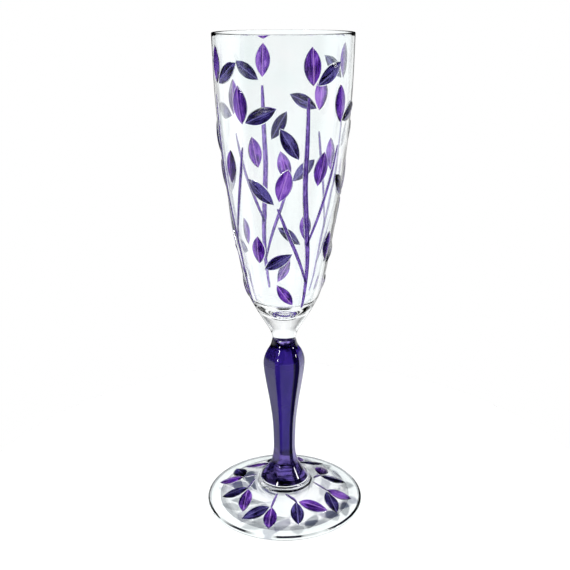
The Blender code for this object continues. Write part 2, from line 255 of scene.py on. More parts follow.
# How the paint varies: where thin, middling and thick lie on its noise, how much pieces and the
# two sides of a piece differ, and fades as start, end, and share before and after. The rim's and
# the midrib's go by the way across, from 0 in the middle to 1 at the edge
PAINT_STOPS = (0.40, 0.47, 0.56)
PAINT_BY_PIECE = 0.035
PAINT_BY_SIDE = 0.07
SCRATCH_FADE = (0.58, 0.68, 0.0, 0.5)
RIM_FADE = (0.7, 0.95, 0.0, 0.45)
RIB_FADE = (0.02, 0.07, 0.5, 0.0)
NOISE_SHIFT = 37.0  # the most that a piece's place on the noises is shifted

# What passes through the stem's coat, from heavy streaks to light ones, nearly black where
# shade is painted and in the darker flare, where it thins out, and what lamps send through
LACQUER_TINTS = ((0.19, 0.13, 0.46), (0.11, 0.07, 0.36))
LACQUER_NEAR_BLACK = (0.012, 0.008, 0.05)
LACQUER_THIN = (0.27, 0.20, 0.58)
LACQUER_SHADE = (0.45, 0.45, 0.6)
BARE_COLOUR = (0.95, 0.98, 0.98)
# Heights over which the coat turns nearly black in painted shade, thins out and ends towards its
# upper edge, how uneven they are, and heights down which its flare darkens
LACQUER_EDGE_SHADE = (79.4 * MM, 80.8 * MM)
LACQUER_THINS = (84.1 * MM, 84.5 * MM)
LACQUER_ENDS = (85.0 * MM, 85.2 * MM)
LACQUER_UNEVEN = 1.1 * MM
LACQUER_FLARE = (26 * MM, 21 * MM)
# Painted shade in bands down the stem, for the dark that its facets bend in: middle, half width
# and softness in degrees of azimuth, and share of the near-black coat
LACQUER_SHADE_BANDS = ((38.0, 11.0, 2.0, 0.99), (-52.0, 27.0, 4.0, 0.72))

# Studio
FLOOR_RADIUS = 0.16
FLOOR_GAP = 0.05 * MM
WHITE = (1.0, 1.0, 1.0)
BLACK = (0.0, 0.0, 0.0)
FILL_COLOUR = (0.9, 0.95, 1.0)
FILL_STRENGTH = 0.045
# What reflections see lit: middle and half width in degrees of azimuth, and brightness
LIT_SIDES = ((-103.0, 24.0, 0.85), (20.0, 9.0, 0.5), (143.0, 18.0, 1.0))
UNLIT = 0.02
SIDE_SOFTNESS = 8.0
BEHIND = 180.0
DARK_STRIP = 10.0  # half width in degrees of what draws the edges of the glass, behind the flute
STRIP_LEVEL = 0.04
# Fades of the room's brightness: start, end, and brightness before and after. FRONT goes by the
# degrees from right behind, and the others by the height of a direction, from -1 to 1
CEILING_FADE = (0.35, 0.6, 1.12, 0.25)
HORIZON_FADE = (-0.16, -0.02, 1.0, 0.02)
ABOVE_FADE = (0.0, 0.1, 0.0, 1.0)
FRONT_FADE = (95.0, 115.0, 1.0, 0.03)

# Lamps far away: name, azimuth and elevation in degrees, and strength
SOFT_LIGHTS = (("left_light", -86, 42, 3.4), ("back_light", 178, 47, 2.25))
SOFT_LIGHT_ANGLE = 3.5
SPARKLES = ((-40, 38), (-40, 15), (80, 46), (80, 18))
SPARKLE_STRENGTH = 0.7
SPARKLE_ANGLE = 9.0

# Camera: angles in degrees and radians, sensor and lens in mm
CAMERA_PLACE = (0.45 * MM, -365.4 * MM, 232.6 * MM)
CAMERA_DOWN = 18.55
CAMERA_ROLL = -0.0024
SENSOR_WIDTH = 36.0
LENS = 53.72


# Shapes


def smooth_value(outline, x):
    """The value at x of a smooth curve through the outline's points, each (x, value)."""
    last = len(outline) - 1
    i = 0
    while i < last - 1 and x > outline[i + 1][0]:
        i += 1
    (x0, y0), (x1, y1) = outline[i], outline[i + 1]

    def slope(k):
        before, after = outline[max(k - 1, 0)], outline[min(k + 1, last)]
        return (after[1] - before[1]) / (after[0] - before[0])

    span = x1 - x0
    t = min(max((x - x0) / span, 0.0), 1.0)
    rise = t * t * (3 - 2 * t)
    start = t * (1 - t) ** 2 * span
    end = t * t * (1 - t) * span
    return y0 + (y1 - y0) * rise + slope(i) * start - slope(i + 1) * end


def smooth_path(points, steps):
    """Points evenly along a smooth curve through points of two numbers each."""
    firsts = [(i, point[0]) for i, point in enumerate(points)]
    seconds = [(i, point[1]) for i, point in enumerate(points)]
    span = (len(points) - 1) / steps
    places = [i * span for i in range(steps + 1)]
    return [(smooth_value(firsts, at), smooth_value(seconds, at)) for at in places]


def from_front(azimuth):
    """The unit vector in plan at an azimuth in degrees."""
    turn = math.radians(azimuth)
    return Vector((math.sin(turn), -math.cos(turn), 0.0))


def make_piece(name, fill, materials, replaced, casts=False):
    """Makes an object of the bmesh that fill builds, and enters it in the frame. Only pieces that
    cast darken the floor: glass higher up bends light back into its own shadow."""
    bm = bmesh.new()
    fill(bm)
    bmesh.ops.recalc_face_normals(bm, faces=bm.faces)
    mesh = bpy.data.meshes.new(name)
    bm.to_mesh(mesh)
    bm.free()
    for material in materials:
        mesh.materials.append(material)
    mesh.shade_smooth()
    mesh.set_sharp_from_angle(angle=SHARP_ANGLE)
    piece = bpy.data.objects.new(name, mesh)
    bpy.context.collection.objects.link(piece)
    piece.visible_shadow = casts
    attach(piece, BODY)
    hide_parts(*replaced)


def bridge(bm, ring, other):
    """Joins two rings of the same number of vertices with faces."""
    count = len(ring)
    faces = []
    for i in range(count):
        k = (i + 1) % count
        faces.append(bm.faces.new((ring[i], ring[k], other[k], other[i])))
    return faces


def bridge_all(bm, rings):
    for ring, other in zip(rings, rings[1:]):
        bridge(bm, ring, other)


def turned_rings(bm, profile, wave=None):
    """Rings of a turned surface through (radius, height) points. wave(azimuth, i) is added to the
    radius of point i."""
    rings = []
    for i, (radius, height) in enumerate(profile):
        ring = []
        for k in range(GLASS_SEGMENTS):
            azimuth = 360.0 * k / GLASS_SEGMENTS
            reach = radius + (wave(azimuth, i) if wave else 0.0)
            ring.append(bm.verts.new(from_front(azimuth) * reach + Vector((0, 0, height))))
        rings.append(ring)
    bridge_all(bm, rings)
    return rings


def close_on_axis(bm, ring, height):
    """Closes a ring with a fan of faces to the point on the axis at a height."""
    middle = bm.verts.new((0, 0, height))
    for i, vertex in enumerate(ring):
        bm.faces.new((vertex, ring[(i + 1) % len(ring)], middle))


# Materials


def rgba(colour):
    """A linear colour with its alpha. A socket stays as it is."""
    return colour if isinstance(colour, bpy.types.NodeSocket) else (*colour, 1.0)


def passing(colour):
    """The base colour with which one surface lets a linear colour through."""
    return tuple(c * c for c in colour)


class Nodes:
    """Short calls for building the node tree of a material or a world."""

    def __init__(self, owner):
        owner.use_nodes = True
        self.owner = owner
        self.tree = owner.node_tree
        self.tree.nodes.clear()

    def add(self, kind, settings=(), **inputs):
        """A node whose inputs are linked or set, by name, or by number as in _0."""
        node = self.tree.nodes.new("ShaderNode" + kind)
        for key, value in dict(settings).items():
            setattr(node, key, value)
        for key, value in inputs.items():
            socket = node.inputs[int(key[1:]) if key[0] == "_" else key.replace("_", " ")]
            if isinstance(value, bpy.types.NodeSocket):
                self.tree.links.new(value, socket)
            else:
                socket.default_value = value
        return node

    def math(self, operation, *values):
        inputs = {f"_{i}": value for i, value in enumerate(values)}
        return self.add("Math", {"operation": operation}, **inputs).outputs[0]

    def remap(self, value, start, end, low=0.0, high=1.0):
        """The value's way from start to end, as a number from low to high, held at both ends."""
        node = self.add(
            "MapRange", Value=value, From_Min=start, From_Max=end, To_Min=low, To_Max=high
        )
        return node.outputs[0]

    def paint(self, share, colour, other):
        """A colour with a share of another over it."""
        node = self.add("MixRGB", Fac=share, Color1=rgba(colour), Color2=rgba(other))
        return node.outputs[0]

    def between(self, share, number, other):
        return self.add("Mix", Factor=share, A=number, B=other).outputs[0]

    def scaled(self, vector, *scale):
        return self.add("Mapping", Vector=vector, Scale=scale).outputs[0]

    def moved(self, vector, other):
        return self.add("VectorMath", {"operation": "ADD"}, _0=vector, _1=other).outputs[0]

    def noise(self, place, scale, detail=2.0, roughness=0.5):
        node = self.add("TexNoise", Vector=place, Scale=scale, Detail=detail, Roughness=roughness)
        return node.outputs["Fac"]

    def ramp(self, factor, stops):
        """A colour ramp through (position, linear colour) stops."""
        node = self.add("ValToRGB", Fac=factor)
        elements = node.color_ramp.elements
        while len(elements) < len(stops):
            elements.new(0.5)
        for element, (position, colour) in zip(elements, stops):
            element.position = position
            element.color = rgba(colour)
        return node.outputs["Color"]

    def cloudy(self, noise, tints):
        """Two colours, mixed by a noise."""
        return self.ramp(noise, ((0.3, tints[0]), (0.7, tints[1])))

    def glass(self, colour, roughness, ior, height, strength, distance):
        """A surface of glass, with a bump of a strength and distance by height."""
        bump = self.add("Bump", Height=height, Strength=strength, Distance=distance)
        shader = self.add(
            "BsdfPrincipled",
            Base_Color=colour,
            Roughness=roughness,
            IOR=ior,
            Transmission_Weight=1.0,
            Normal=bump.outputs["Normal"],
        )
        return shader.outputs[0]

    def matt(self, colour, roughness):
        """Ends the material with a surface without gloss."""
        shader = self.add(
            "BsdfPrincipled", Base_Color=colour, Roughness=roughness, Specular_IOR_Level=0.0
        )
        self.add("OutputMaterial", Surface=shader.outputs[0])
        return self.owner

    def let_lamps_through(self, surface, tint):
        """Ends the material with a surface that lamps and bounced light pass as tinted film."""
        path = self.add("LightPath").outputs
        soft = self.math("MAXIMUM", path["Is Shadow Ray"], path["Is Diffuse Ray"])
        film = self.add("BsdfTransparent", Color=rgba(tint))
        mix = self.add("MixShader", _0=soft, _1=surface, _2=film.outputs[0])
        self.add("OutputMaterial", Surface=mix.outputs[0])
        return self.owner


def azimuth_of(nodes, place):
    """The azimuth in radians of a place or direction."""
    axes = nodes.add("SeparateXYZ", Vector=place).outputs
    return nodes.math("ARCTAN2", axes["X"], nodes.math("MULTIPLY", axes["Y"], -1.0))


def azimuth_gap(nodes, azimuth, middle):
    """How far an azimuth in radians is from a middle in degrees: 0 to 180 degrees."""
    turned = nodes.math("SUBTRACT", azimuth, math.radians(middle))
    wrapped = nodes.math("WRAP", turned, math.pi, -math.pi)
    return nodes.math("DEGREES", nodes.math("ABSOLUTE", wrapped))


def painted_edge_shade(nodes, colour, start, end):
    """The colour with painted shade where the surface is seen edge on, over a range of facing:
    dark outlines for the dark that glass bends in at grazing angles.
    """
    facing = nodes.add("LayerWeight", Blend=0.5).outputs["Facing"]
    return nodes.paint(nodes.remap(facing, start, end, 0.0, OUTLINE_SHADE_DEPTH), colour, OUTLINE_SHADE_COLOUR)


def painted_foot_shade(nodes, place, colour):
    """The foot's colour, with broken lines of painted shade where it turns sharply and painted
    shade along its lowest edge.
    """
    flat = nodes.scaled(place, 1.0, 1.0, 0.0)
    radius = nodes.add("VectorMath", {"operation": "LENGTH"}, _0=flat).outputs["Value"]
    unbroken = nodes.remap(nodes.noise(place, scale=45.0, detail=1.0), 0.36, 0.46)
    height = nodes.add("SeparateXYZ", Vector=place).outputs["Z"]
    # Broken lines of painted shade
    for start, end, lowest in FOOT_SHADE_BANDS:
        middle, half = (start + end) / 2, (end - start) / 2
        off = nodes.math("ABSOLUTE", nodes.math("SUBTRACT", radius, middle))
        line = nodes.math("MULTIPLY", nodes.remap(off, half * 0.75, half, 1.0, 0.0), unbroken)
        line = nodes.math("MULTIPLY", line, nodes.math("GREATER_THAN", height, lowest))
        colour = nodes.paint(line, colour, BAND_SHADE_COLOUR)
    # Painted shade along the lowest edge
    return nodes.paint(nodes.remap(height, *LOW_EDGE, LOW_EDGE_DEPTH, 0.0), colour, LOW_EDGE_SHADE_COLOUR)


def clear_glass(name, edges=True, bands=False):
    """Pressed crystal: nearly colourless, with a faint waviness from the mould. edges says whether
    it has painted shade where it is seen edge on, and bands whether it has the foot's painted
    shade: dark lines where it turns sharply and a shade along its lowest edge."""
    nodes = Nodes(bpy.data.materials.new(name))
    place = nodes.add("TexCoord").outputs["Object"]
    colour = nodes.cloudy(nodes.noise(place, scale=60.0), CRYSTAL_TINTS)
    if edges:
        colour = painted_edge_shade(nodes, colour, *CRYSTAL_OUTLINE)
    if bands:
        colour = painted_foot_shade(nodes, place, colour)
    waves = nodes.noise(place, scale=110.0, detail=1.0)
    surface = nodes.glass(colour, 0.0, CRYSTAL_IOR, waves, strength=0.1, distance=0.4 * MM)
    return nodes.let_lamps_through(surface, WHITE)


def ground_glass():
    """The ring the foot stands on, ground flat and white."""
    nodes = Nodes(bpy.data.materials.new("ground_ring"))
    place = nodes.add("TexCoord").outputs["Object"]
    return nodes.matt(nodes.cloudy(nodes.noise(place, scale=900.0), GROUND_TINTS), 0.7)


def enamel(name, thin, middle, thick, shade):
    """Transparent enamel brushed along the leaf: thin in the brush lines, lighter on the midrib and
    thick where it pooled. UV runs across (U, -1 to 1) and along (V, in leaf widths). thin, middle
    and thick are what passes through it, and shade is what lamps send through."""
    nodes = Nodes(bpy.data.materials.new(name))
    uv = nodes.add("UVMap").outputs["UV"]
    across = nodes.add("SeparateXYZ", Vector=uv).outputs["X"]
    off_rib = nodes.math("ABSOLUTE", across)

    # Each piece takes its own part of the noises
    chance = nodes.add("ObjectInfo").outputs["Random"]
    corner = nodes.add("CombineXYZ", X=chance, Y=chance, Z=chance).outputs[0]
    shift = nodes.add("VectorMath", {"operation": "SCALE"}, _0=corner, Scale=NOISE_SHIFT).outputs[0]
    brushed = nodes.moved(nodes.scaled(uv, 3.2, 0.5, 1.0), shift)
    strokes = nodes.noise(brushed, scale=1.5, detail=5.0, roughness=0.75)
    pools = nodes.noise(nodes.moved(uv, shift), scale=1.3, detail=1.0)

    # How thick the paint is. Some pieces have more of it, or more on one side
    depth = nodes.paint(0.4, strokes, pools)
    by_piece = nodes.remap(chance, 0.0, 1.0, -PAINT_BY_PIECE, PAINT_BY_PIECE)
    depth = nodes.math("ADD", depth, by_piece)
    by_side = nodes.remap(chance, 0.0, 1.0, -PAINT_BY_SIDE, PAINT_BY_SIDE)
    depth = nodes.math("ADD", depth, nodes.math("MULTIPLY", across, by_side))
    tones = [passing(tone) for tone in (thin, middle, thick)]
    colour = nodes.ramp(depth, list(zip(PAINT_STOPS, tones)))

    # Fine scratches of the brush, a thick rim and a lighter midrib
    hairs = nodes.noise(nodes.scaled(brushed, 3.0, 1.0, 1.0), scale=1.7)
    colour = nodes.paint(nodes.remap(hairs, *SCRATCH_FADE), colour, passing(thin))
    colour = nodes.paint(nodes.remap(off_rib, *RIM_FADE), colour, passing(thick))
    lighter_rib = passing([min(1.0, 1.5 * c + 0.12) for c in thin])
    colour = nodes.paint(nodes.remap(off_rib, *RIB_FADE), colour, lighter_rib)
    surface = nodes.glass(colour, 0.05, PAINT_IOR, strokes, strength=0.5, distance=0.3 * MM)
    return nodes.let_lamps_through(surface, shade)


def lacquer():
    """The stem's dark violet coat, streaked downwards by the brush. It is painted nearly black as
    shade under its uneven upper edge and in two bands down the stem, darker in patches in the flare
    above the collar, and painted dark as shade towards its outline."""
    nodes = Nodes(bpy.data.materials.new("stem_lacquer"))
    place = nodes.add("TexCoord").outputs["Object"]
    height = nodes.add("SeparateXYZ", Vector=place).outputs["Z"]
    streaks = nodes.noise(nodes.scaled(place, 1.0, 1.0, 0.12), scale=420.0, detail=3.0)
    colour = nodes.cloudy(streaks, [passing(tint) for tint in LACQUER_TINTS])
    thick = passing(LACQUER_NEAR_BLACK)

    # Towards the upper edge
    blotches = nodes.noise(place, scale=260.0)
    shift = nodes.remap(blotches, 0.3, 0.7, -LACQUER_UNEVEN, LACQUER_UNEVEN)
    uneven = nodes.math("ADD", height, shift)
    # Painted shade, nearly black, under the upper edge
    colour = nodes.paint(nodes.remap(uneven, *LACQUER_EDGE_SHADE), colour, thick)
    colour = nodes.paint(nodes.remap(uneven, *LACQUER_THINS), colour, passing(LACQUER_THIN))
    colour = nodes.paint(nodes.remap(uneven, *LACQUER_ENDS), colour, BARE_COLOUR)

    # In the flare, and painted shade in bands down the stem
    patches = nodes.remap(nodes.noise(place, scale=150.0, detail=1.0), 0.42, 0.55)
    flare = nodes.math("MULTIPLY", nodes.remap(height, *LACQUER_FLARE), patches)
    colour = nodes.paint(flare, colour, thick)
    azimuth = azimuth_of(nodes, place)
    for middle, half, soft, share in LACQUER_SHADE_BANDS:
        gap = azimuth_gap(nodes, azimuth, middle)
        run = nodes.remap(gap, half - soft, half + soft, share, 0.0)
        colour = nodes.paint(run, colour, thick)
    # Painted shade towards the outline
    colour = painted_edge_shade(nodes, colour, *LACQUER_OUTLINE)
    surface = nodes.glass(colour, 0.02, PAINT_IOR, streaks, strength=0.1, distance=0.2 * MM)
    return nodes.let_lamps_through(surface, LACQUER_SHADE)


# Glass


def bowl_radius(height):
    return smooth_value(BOWL_OUTLINE, height)


def cavity_radius(height):
    """The inside radius: the outside less the wall, closing in a round floor at the bottom."""
    up = (height - CAVITY_FLOOR) / (HEIGHT - CAVITY_FLOOR)
    wall = WALL_AT_BASE + (WALL_AT_RIM - WALL_AT_BASE) * min(1.0, 2.0 * up)
    depth = min(max((height - CAVITY_FLOOR) / CAVITY_ROUND, 0.0), 1.0)
    return (bowl_radius(height) - wall) * math.sqrt(1 - (1 - depth) ** 2)


def fill_bowl(bm):
    """The bowl, from the neck up its outside, over the lip and down to the cavity's floor."""
    lip = WALL_AT_RIM / 2
    shoulder = HEIGHT - lip
    outside = []
    for step in range(OUTSIDE_STEPS + 1):
        height = NECK_HEIGHT + (shoulder - NECK_HEIGHT) * step / OUTSIDE_STEPS
        outside.append((bowl_radius(height), height))
    crest = []
    for step in range(1, LIP_STEPS):
        turn = math.pi * step / LIP_STEPS
        crest.append((RIM_RADIUS - lip + lip * math.cos(turn), shoulder + lip * math.sin(turn)))
    inside = []
    for step in range(INSIDE_STEPS + 1):
        height = shoulder - (shoulder - CAVITY_FLOOR - CAVITY_ROUND) * step / INSIDE_STEPS
        inside.append((cavity_radius(height), height))
    for step in range(1, CAVITY_FLOOR_STEPS):
        turn = math.pi / 2 * step / CAVITY_FLOOR_STEPS
        height = CAVITY_FLOOR + CAVITY_ROUND * (1 - math.sin(turn))
        inside.append((cavity_radius(height), height))
    first_inside = len(outside) + len(crest)

    def wave(azimuth, i):
        """The inside of blown glass isn't quite round."""
        if i < first_inside:
            return 0.0
        depth = (i - first_inside) / len(inside)
        swell = math.sin(math.radians(3 * azimuth + 70 * depth))
        swell += 0.6 * math.sin(math.radians(7 * azimuth + 40))
        return INSIDE_SWELL * swell * math.sin(math.pi * depth)

    rings = turned_rings(bm, outside + crest + inside, wave)
    close_on_axis(bm, rings[-1], CAVITY_FLOOR)


def facet_share(height):
    """How far the section is a hexagon at a height: 1 in the middle and 0 at both ends."""
    below = min((height - COLLAR_HEIGHT) / ROUND_ABOVE_COLLAR, 1.0)
    above = min((NECK_HEIGHT - height) / ROUND_BELOW_NECK, 1.0)
    share = max(min(below, above), 0.0)
    return share * share * (3 - 2 * share)


def hexagon_reach(offset):
    """The hexagon's radius at an angle in degrees past a ridge, as a share of the ridge's own."""
    half = 180.0 / STEM_SIDES
    offset = min(offset, 2 * half - offset)
    if offset < RIDGE_ROUNDING:
        offset = (offset * offset + RIDGE_ROUNDING**2) / (2 * RIDGE_ROUNDING)
    ridge = math.cos(math.radians(half - RIDGE_ROUNDING / 2))
    return ridge / math.cos(math.radians(half - offset))


def fill_stem(bm):
    """A six-sided baluster with rounded ridges, round where it meets the bowl and the foot."""
    points = STEM_SIDES * STEM_POINTS_PER_SIDE
    rings = []
    for step in range(STEM_STEPS + 1):
        height = COLLAR_HEIGHT + (NECK_HEIGHT - COLLAR_HEIGHT) * step / STEM_STEPS
        radius = smooth_value(STEM_OUTLINE, height)
        ring = []
        for k in range(points):
            turn = k * 360.0 / points
            reach = hexagon_reach((k % STEM_POINTS_PER_SIDE) * 360.0 / points)
            share = 1 + facet_share(height) * (reach - 1)
            out = from_front(FIRST_RIDGE + turn) * radius * share
            ring.append(bm.verts.new(out + Vector((0, 0, height))))
        rings.append(ring)
    bridge_all(bm, rings)


def foot_height(radius):
    return smooth_value(FOOT_OUTLINE, radius)


def fill_foot(bm):
    """The foot, from the middle of its underside out, round its edge and up to the collar. The
    ring it stands on is ground (slot 1)."""
    under = []
    for step in range(1, DOME_STEPS + 1):
        share = step / DOME_STEPS
        under.append((RING_INSIDE * share, DOME_HEIGHT * (1 - share**2)))
    edge = [(RING_OUTSIDE, 0.0)]
    for step in range(1, FOOT_EDGE_STEPS):
        turn = math.pi * step / FOOT_EDGE_STEPS
        out = (FOOT_RADIUS - FOOT_EDGE_RADIUS) * math.sin(turn)
        edge.append((FOOT_EDGE_RADIUS + out, FOOT_EDGE_HALF * (1 - math.cos(turn))))
    top = []
    innermost, outermost = FOOT_OUTLINE[0][0], FOOT_OUTLINE[-1][0]
    for step in range(1, FOOT_TOP_STEPS + 1):
        radius = outermost + (innermost - outermost) * step / FOOT_TOP_STEPS
        top.append((radius, foot_height(radius)))
    collar = list(COLLAR_FILLET)
    for step in range(COLLAR_STEPS + 1):
        turn = math.pi / 2 * step / COLLAR_STEPS
        radius = COLLAR_RADIUS - COLLAR_ROUNDING * (1 - math.cos(turn))
        collar.append((radius, COLLAR_HEIGHT - COLLAR_ROUNDING * (1 - math.sin(turn))))
    collar.append((STEM_OUTLINE[0][1], COLLAR_HEIGHT))
    rings = turned_rings(bm, under + edge + top + collar)
    close_on_axis(bm, rings[0], DOME_HEIGHT)
    for face in bm.faces:
        if all(vertex.co.z < GROUND_BELOW for vertex in face.verts):
            face.material_index = 1


# Enamel relief


def on_bowl(azimuth, height, lift):
    """The point that stands lift off the bowl's outside."""
    step = 0.5 * MM
    slope = (bowl_radius(height + step) - bowl_radius(height - step)) / (2 * step)
    tilt = math.sqrt(1 + slope * slope)
    radius = bowl_radius(height) + lift / tilt
    return from_front(azimuth) * radius + Vector((0, 0, height - lift * slope / tilt))


def bowl_leaf_place(azimuth, height, lean):
    """Maps (along, across, lift) of a leaf to a point off the bowl."""
    lean = math.radians(lean)

    def place(along, across, lift):
        up = along * math.cos(lean) - across * math.sin(lean)
        sideways = along * math.sin(lean) + across * math.cos(lean)
        z = height + up
        return on_bowl(azimuth + math.degrees(sideways / bowl_radius(z)), z, RELIEF_GAP + lift)

    return place


def on_foot(point, lift):
    """The point that stands lift off the foot's upper side, above a point in plan."""
    radius = math.hypot(point.x, point.y)
    return Vector((point.x, point.y, foot_height(radius) + RELIEF_GAP + lift))


def foot_leaf_place(base, tip):
    """Maps (along, across, lift) of a leaf from base to tip in plan to a point off the foot."""
    ahead = (tip - base).normalized()
    side = Vector((ahead.y, -ahead.x, 0.0))
    centre = (base + tip) / 2
    return lambda along, across, lift: on_foot(centre + ahead * along + side * across, lift)


def leaf_outline(half, width):
    """A leaf's section at a half width, as (across, lift) from edge to edge."""
    inner = max(half - LEAF_BORDER, 0.0)
    edge = LEAF_EDGE * min(1.0, half / LEAF_BORDER)
    rise = (LEAF_CROWN - LEAF_EDGE) * (inner / (width / 2)) ** LEAF_ROUNDNESS
    section = [(-half, 0.0)]
    for k in range(-LEAF_HALF_COLUMNS, LEAF_HALF_COLUMNS + 1):
        column = k / LEAF_HALF_COLUMNS
        section.append((column * inner, edge + rise * (1 - abs(column))))
    section.append((half, 0.0))
    return section


def sew(bm, rows, uv, where, border):
    """Faces between rows of vertices, whose first and last may be a single tip. All of them are
    clear if border says so, and the outer ones in any case."""
    for row, other in zip(rows, rows[1:]):
        count = max(len(row), len(other)) - 1
        for k in range(count):
            a, b = (row[0], row[0]) if len(row) == 1 else (row[k], row[k + 1])
            c, d = (other[0], other[0]) if len(other) == 1 else (other[k], other[k + 1])
            corners = [a] + ([b] if b is not a else []) + [d] + ([c] if c is not d else [])
            face = bm.faces.new(corners)
            face.material_index = 1 if border or k in (0, count - 1) else 0
            for loop in face.loops:
                loop[uv].uv = where[loop.vert]


def fill_leaf(bm, place, length, width):
    """A pointed leaf of glass with a raised midrib. Its top is enamel (slot 0) and its bevelled
    border and underside are clear (slot 1). place maps (along, across, lift) to a point."""
    uv = bm.loops.layers.uv.new("UVMap")
    tops, unders = [], []
    where = {}

    def corner(along, across, lift):
        vertex = bm.verts.new(place(along, across, lift))
        where[vertex] = (2 * across / width, along / width)
        return vertex

    for step in range(LEAF_STEPS + 1):
        share = step / LEAF_STEPS
        along = length * (share - 0.5)
        if step in (0, LEAF_STEPS):
            tip = corner(along, 0.0, 0.0)
            tops.append([tip])
            unders.append([tip])
            continue
        half = width / 2 * (4 * share * (1 - share)) ** LEAF_POINTEDNESS
        top = [corner(along, across, lift) for across, lift in leaf_outline(half, width)]
        tops.append(top)
        unders.append([top[0], corner(along, 0.0, 0.0), top[-1]])
    sew(bm, tops, uv, where, border=False)
    sew(bm, unders, uv, where, border=True)


def fill_stalk(bm, path, place, width):
    """A low strip along a path, narrowing to its ends, with enamel on top (slot 0) and clear
    bevelled sides and underside (slot 1). place(point, before, after, offset, lift) gives the
    point at an offset across the path."""
    uv = bm.loops.layers.uv.new("UVMap")
    where = {}
    rings = []
    last = len(path) - 1
    section = [(c, STALK_EDGE + (1 - c * c) * (1 - STALK_EDGE)) for c in STALK_COLUMNS]
    section = [(-1.0, 0.0), *section, (1.0, 0.0)]
    for i, point in enumerate(path):
        before, after = path[max(i - 1, 0)], path[min(i + 1, last)]
        from_end = math.sin(math.pi * min(i, last - i) / last) ** 0.5
        size = STALK_TIP + (1 - STALK_TIP) * from_end
        ring = []
        for across, lift in section:
            offset = width / 2 * size * across
            vertex = bm.verts.new(place(point, before, after, offset, STALK_CROWN * lift * size))
            where[vertex] = (across * STALK_UV[0], i * STALK_UV[1])
            ring.append(vertex)
        rings.append(ring)
    for ring, other in zip(rings, rings[1:]):
        for k, face in enumerate(bridge(bm, ring, other)):
            face.material_index = 0 if 0 < k < len(ring) - 2 else 1
            for loop in face.loops:
                loop[uv].uv = where[loop.vert]
    for ring in (rings[0], rings[-1]):
        bm.faces.new(ring).material_index = 1


def bowl_strip_place(point, before, after, offset, lift):
    """A point beside a stalk on the bowl, whose path is in degrees and metres of height."""
    radius = bowl_radius(point[1])
    run = math.radians(after[0] - before[0]) * radius
    rise = after[1] - before[1]
    length = math.hypot(run, rise)
    azimuth = point[0] - math.degrees(offset * rise / length / radius)
    return on_bowl(azimuth, point[1] + offset * run / length, RELIEF_GAP + lift)


def foot_strip_place(point, before, after, offset, lift):
    """A point beside a stalk on the foot, whose path is in degrees and metres of radius."""
    here, start, end = [from_front(p[0]) * p[1] for p in (point, before, after)]
    ahead = (end - start).normalized()
    return on_foot(here + Vector((-ahead.y, ahead.x, 0.0)) * offset, lift)


def make_bowl_leaves(enamels, clear):
    for panel in range(PANELS):
        turn = panel * 360.0 / PANELS
        for name, azimuth, height, length, width, lean, colour in PANEL_LEAVES:
            node = f"{name}_{panel + 1}"
            aside, up = NUDGES.get(node, (0.0, 0.0))
            place = bowl_leaf_place(azimuth + turn + aside, (height + up) * MM, lean)
            make_piece(
                f"relief_{node}",
                lambda bm: fill_leaf(bm, place, length * MM, width * MM),
                (enamels[colour], clear),
                [node],
            )


def make_bowl_stalks(enamels, clear):
    for panel in range(PANELS):
        turn = panel * 360.0 / PANELS
        for number, points in enumerate((MAIN_STALK, *BRANCHES)):
            route = [(azimuth + turn, height * MM) for azimuth, height in points]
            path = smooth_path(route, BRANCH_STEPS if number else MAIN_STALK_STEPS)
            width = BRANCH_WIDTH if number else MAIN_STALK_WIDTH
            make_piece(
                f"relief_stalk_{panel + 1}" + (f"_branch_{number}" if number else ""),
                lambda bm: fill_stalk(bm, path, bowl_strip_place, width),
                (enamels["stalk"], clear),
                [f"stalk_{panel + 1}"],
            )


def make_foot_sprigs(enamels, clear):
    number = 0
    for panel in range(PANELS):
        for sprig in (FORKED_SPRIG, STRAIGHT_SPRIG):
            number += 1
            node = f"foot_sprig_{number}"
            first = sprig["azimuth"] + panel * 360.0 / PANELS
            route = [(first + turn, radius * MM) for turn, radius in sprig["stalk"]]
            path = smooth_path(route, FOOT_STALK_STEPS)
            make_piece(
                f"{node}_stalk",
                lambda bm: fill_stalk(bm, path, foot_strip_place, FOOT_STALK_WIDTH),
                (enamels["stalk"], clear),
                [node],
                casts=True,
            )
            for base, tip, colour in sprig["leaves"]:
                start = from_front(first + base[0]) * base[1] * MM
                end = from_front(first + tip[0]) * tip[1] * MM
                place = foot_leaf_place(start, end)
                make_piece(
                    f"{node}_{colour}_leaf",
                    lambda bm: fill_leaf(bm, place, (end - start).length, FOOT_LEAF_WIDTH),
                    (enamels[colour], clear),
                    [node],
                    casts=True,
                )


# Studio


def lit_sides(nodes, direction):
    """How bright the room's sides are in reflections, by the azimuth of a direction."""
    azimuth = azimuth_of(nodes, direction)
    sides = UNLIT
    for middle, half, level in LIT_SIDES:
        gap = azimuth_gap(nodes, azimuth, middle)
        side = nodes.remap(gap, half, half + SIDE_SOFTNESS, level, 0.0)
        sides = nodes.math("ADD", side, sides)
    return sides


def bounce_kinds(nodes):
    """Two shares, 0 or 1: seen in the outside of the glass, and seen by a reflection within it."""
    path = nodes.add("LightPath").outputs
    bounced = nodes.math("GREATER_THAN", path["Glossy Depth"], 0.5)
    entered = nodes.math("GREATER_THAN", path["Transmission Depth"], 0.5)
    within = nodes.math("MULTIPLY", bounced, entered)
    return nodes.math("SUBTRACT", bounced, within), within


